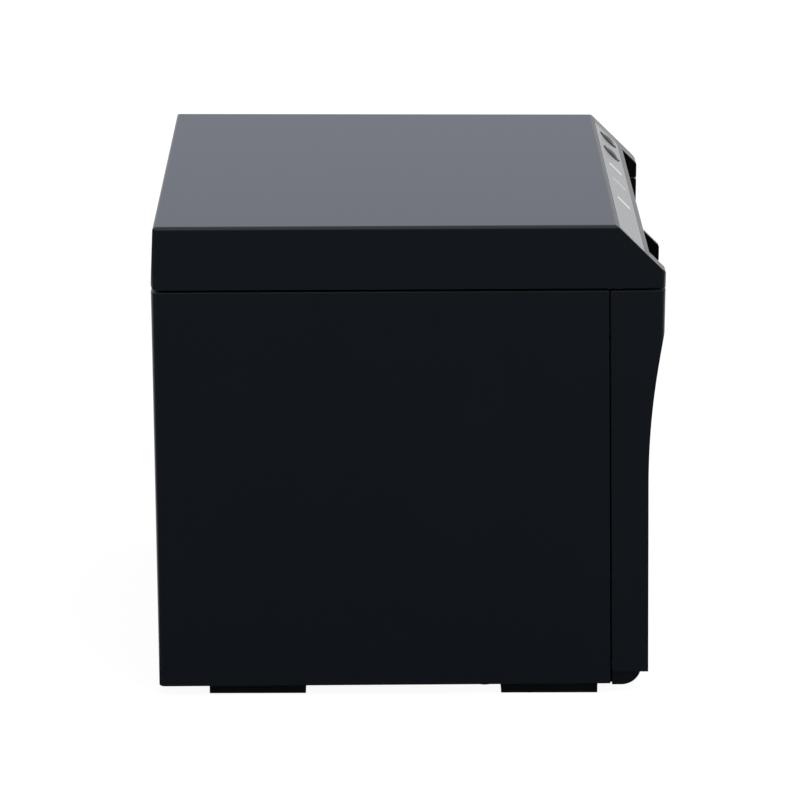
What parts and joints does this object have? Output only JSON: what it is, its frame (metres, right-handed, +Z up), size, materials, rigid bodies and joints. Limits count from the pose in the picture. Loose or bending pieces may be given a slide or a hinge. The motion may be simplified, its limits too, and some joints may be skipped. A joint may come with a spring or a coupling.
{
  "type": "receipt printer",
  "caption": "Cube-shaped desktop receipt printer with a rear-hinged lid, sloping control face, front paper mouth, drop-in roll bay, platen drive and paper cutter.",
  "frame": {"origin": "centre of the footprint at table level, under the four feet", "axes": "+Z up, +Y towards the rear wall, +X to the right of a user who faces the paper mouth"},
  "size_m": [0.145, 0.155, 0.151],
  "materials": {
    "shell_plastic": "satin moulded ABS, near-black with a blue cast",
    "dark_plastic": "fine textured moulded ABS",
    "rubber": "ribbed soft rubber",
    "grey_plastic": "moulded inner plastic",
    "panel_film": "printed overlay film, glossy",
    "light_window": "clear light windows",
    "steel": "zinc plated sheet steel",
    "bright_steel": "ground and polished steel",
    "aluminium": "extruded heatsink",
    "ceramic": "glazed print head board",
    "acetal": "natural acetal",
    "brass": "geared motor",
    "circuit_board": "green solder mask"
  },
  "bodies": {
    "base": {"main_casing": "shell_plastic", "front_cover": "shell_plastic", "base_pan": "dark_plastic", "casing_screws": "steel", "foot_rear_left": "rubber", "foot_rear_right": "rubber", "foot_front_left": "rubber", "foot_front_right": "rubber", "paper_bucket": "grey_plastic", "near_end_sensor": "dark_plastic", "mechanism_frame": "steel", "head_pivot_shaft": "bright_steel", "head_springs": "bright_steel", "paper_sensor": "dark_plastic", "feed_motor": "steel", "idler_stud": "bright_steel", "cutter_frame": "steel", "cutter_motor": "brass", "latch_spring": "bright_steel", "main_board": "circuit_board", "board_parts": "dark_plastic", "power_inlet": "dark_plastic", "usb_socket": "steel", "network_socket": "steel", "drawer_socket": "dark_plastic", "socket_plate": "steel"},
    "lid": {"lid_shell": "shell_plastic", "lid_liner": "grey_plastic", "liner_screws": "steel", "control_panel": "panel_film", "status_lights": "light_window", "panel_board": "circuit_board", "panel_switches": "circuit_board", "platen_bracket": "steel", "platen_bushings": "acetal", "fixed_blade": "bright_steel", "tear_bar": "bright_steel", "hinge_pin_left": "bright_steel", "hinge_pin_right": "bright_steel"},
    "feed_button": {"feed_button": "dark_plastic"},
    "power_button": {"power_button": "dark_plastic"},
    "platen": {"platen_roller": "rubber", "platen_shaft": "bright_steel", "platen_gear": "acetal"},
    "motor_pinion": {"motor_pinion": "acetal"},
    "idler_gear": {"idler_gear": "acetal"},
    "cutter_blade": {"moving_blade": "bright_steel"},
    "cutter_pinion": {"cutter_pinion": "acetal"},
    "release_button": {"release_button": "dark_plastic"},
    "latch_bar": {"latch_bar": "steel"},
    "print_head": {"head_heatsink": "aluminium", "head_board": "ceramic"}
  },
  "joints": [
    {"name": "lid_hinge", "type": "hinge", "parent": "base", "child": "lid", "pos_m": [0, 0.0747, 0.1346], "axis": [-1, 0, 0], "range_deg": [0, 88]},
    {"name": "feed_button_press", "type": "slide", "parent": "lid", "child": "feed_button", "axis": [0, 0.7071, -0.7071], "range_m": [0, 0.0008], "stiffness_N_per_m": 600, "springref_m": -0.0004},
    {"name": "power_button_press", "type": "slide", "parent": "lid", "child": "power_button", "axis": [0, 0.7071, -0.7071], "range_m": [0, 0.0008], "stiffness_N_per_m": 600, "springref_m": -0.0004},
    {"name": "platen_spin", "type": "hinge", "parent": "lid", "child": "platen", "pos_m": [0, -0.05, 0.134], "axis": [1, 0, 0], "continuous": true},
    {"name": "idler_spin", "type": "hinge", "parent": "base", "child": "idler_gear", "pos_m": [0, -0.05, 0.1172], "axis": [1, 0, 0], "continuous": true},
    {"name": "motor_spin", "type": "hinge", "parent": "base", "child": "motor_pinion", "pos_m": [0, -0.05, 0.104], "axis": [1, 0, 0], "continuous": true},
    {"name": "blade_stroke", "type": "slide", "parent": "base", "child": "cutter_blade", "axis": [0, 0, 1], "range_m": [0, 0.008]},
    {"name": "cutter_pinion_turn", "type": "hinge", "parent": "base", "child": "cutter_pinion", "pos_m": [0, -0.055, 0.104], "axis": [1, 0, 0], "range_deg": [-85, 5]},
    {"name": "release_press", "type": "slide", "parent": "base", "child": "release_button", "axis": [0, 0.7071, -0.7071], "range_m": [0, 0.0025], "stiffness_N_per_m": 400, "springref_m": -0.0008},
    {"name": "latch_turn", "type": "hinge", "parent": "base", "child": "latch_bar", "pos_m": [0, -0.064, 0.086], "axis": [-1, 0, 0], "range_deg": [0, 3.2]},
    {"name": "head_float", "type": "hinge", "parent": "base", "child": "print_head", "pos_m": [0, -0.0385, 0.122], "axis": [1, 0, 0], "range_deg": [0, 1.2], "stiffness_Nm_per_rad": 3, "springref_deg": -1.15}
  ],
  "couplings": [
    {"joint": "idler_spin", "follows": "platen_spin", "ratio": -0.75},
    {"joint": "motor_spin", "follows": "platen_spin", "ratio": 2},
    {"joint": "cutter_pinion_turn", "follows": "blade_stroke", "rad_per_m": -178.57},
    {"joint": "latch_turn", "follows": "release_press", "rad_per_m": 19.32}
  ]
}
